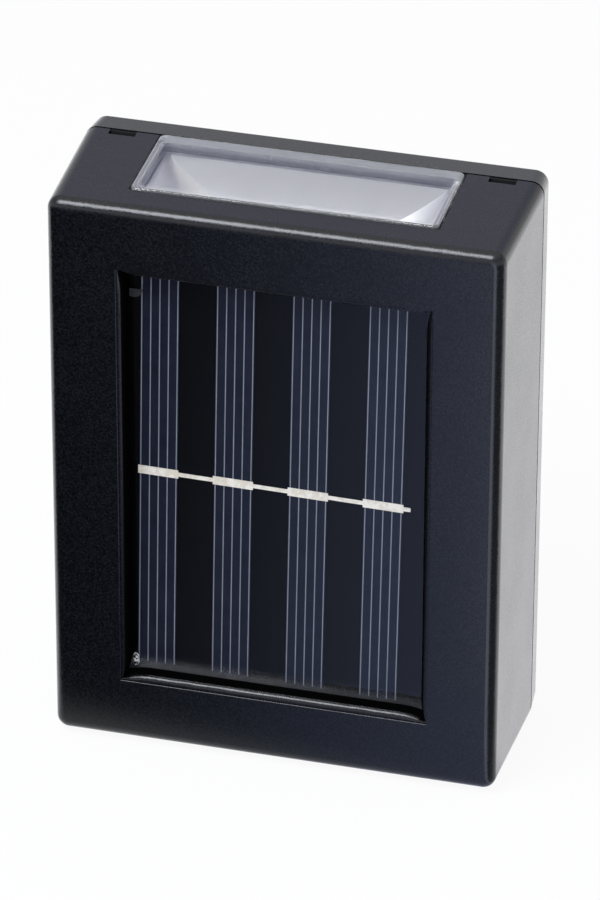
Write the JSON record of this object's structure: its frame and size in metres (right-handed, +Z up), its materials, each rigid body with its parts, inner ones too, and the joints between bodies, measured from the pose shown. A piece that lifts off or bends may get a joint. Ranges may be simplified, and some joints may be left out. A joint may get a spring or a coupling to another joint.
{
  "type": "fence light",
  "caption": "Upright box-shaped solar fence light: panel behind a front window, clear lens and silver reflector in the top and bottom faces, slide switch and keyhole hangers at the back.",
  "frame": {"origin": "centre of the rear face that lies against the fence", "axes": "+Z up, +X to the right seen from the front, -Y out of the fence towards the viewer"},
  "size_m": [0.0902, 0.0354, 0.1206],
  "materials": {
    "housing_black": "fine matt texture",
    "lens_clear": "clear moulded plastic, polished",
    "reflector_silver": "satin silver coating",
    "resin_clear": "clear, glossy",
    "cell_blue": "dark blue silicon, glossy",
    "finger_silver": "fine printed conductor",
    "ribbon_tin": "tinned ribbon, dull",
    "panel_board_black": "black board",
    "tape_grey": "foam adhesive tape",
    "adhesive_clear": "cured clear adhesive",
    "seal_rubber": "matt",
    "screw_steel": "zinc plated",
    "led_board_white": "white board",
    "led_phosphor": "white body with yellow phosphor",
    "main_board_green": "green board",
    "chip_black": "moulded",
    "ferrite_grey": "sintered ferrite",
    "capacitor_sleeve": "satin can",
    "switch_metal": "plated",
    "knob_black": "moulded",
    "tray_black": "moulded",
    "battery_jacket": "plain printed sleeve",
    "contact_nickel": "nickel plated",
    "lead_insulation": "red and black insulation"
  },
  "bodies": {
    "light": {"front_housing": "housing_black", "rear_cover": "housing_black", "cover_seal": "seal_rubber", "cover_screws": "screw_steel", "top_lens": "lens_clear", "bottom_lens": "lens_clear", "top_reflector": "reflector_silver", "bottom_reflector": "reflector_silver", "top_led_board": "led_board_white", "bottom_led_board": "led_board_white", "top_leds": "led_phosphor", "bottom_leds": "led_phosphor", "led_board_screws": "screw_steel", "panel_tape": "tape_grey", "panel_board": "panel_board_black", "solar_cells": "cell_blue", "cell_fingers": "finger_silver", "cell_ribbon": "ribbon_tin", "panel_resin": "resin_clear", "adhesive_dabs": "adhesive_clear", "battery_tray": "tray_black", "battery_cell": "battery_jacket", "plus_contact": "contact_nickel", "minus_contact": "contact_nickel", "main_board": "main_board_green", "driver_chip": "chip_black", "inductor": "ferrite_grey", "capacitor": "capacitor_sleeve", "inner_screws": "screw_steel", "switch_body": "switch_metal", "panel_leads": "lead_insulation", "top_led_leads": "lead_insulation", "bottom_led_leads": "lead_insulation", "battery_leads": "lead_insulation"},
    "knob": {"switch_knob": "knob_black"}
  },
  "joints": [
    {"name": "switch_slide", "type": "slide", "parent": "light", "child": "knob", "axis": [1, 0, 0], "range_m": [0, 0.002]}
  ]
}
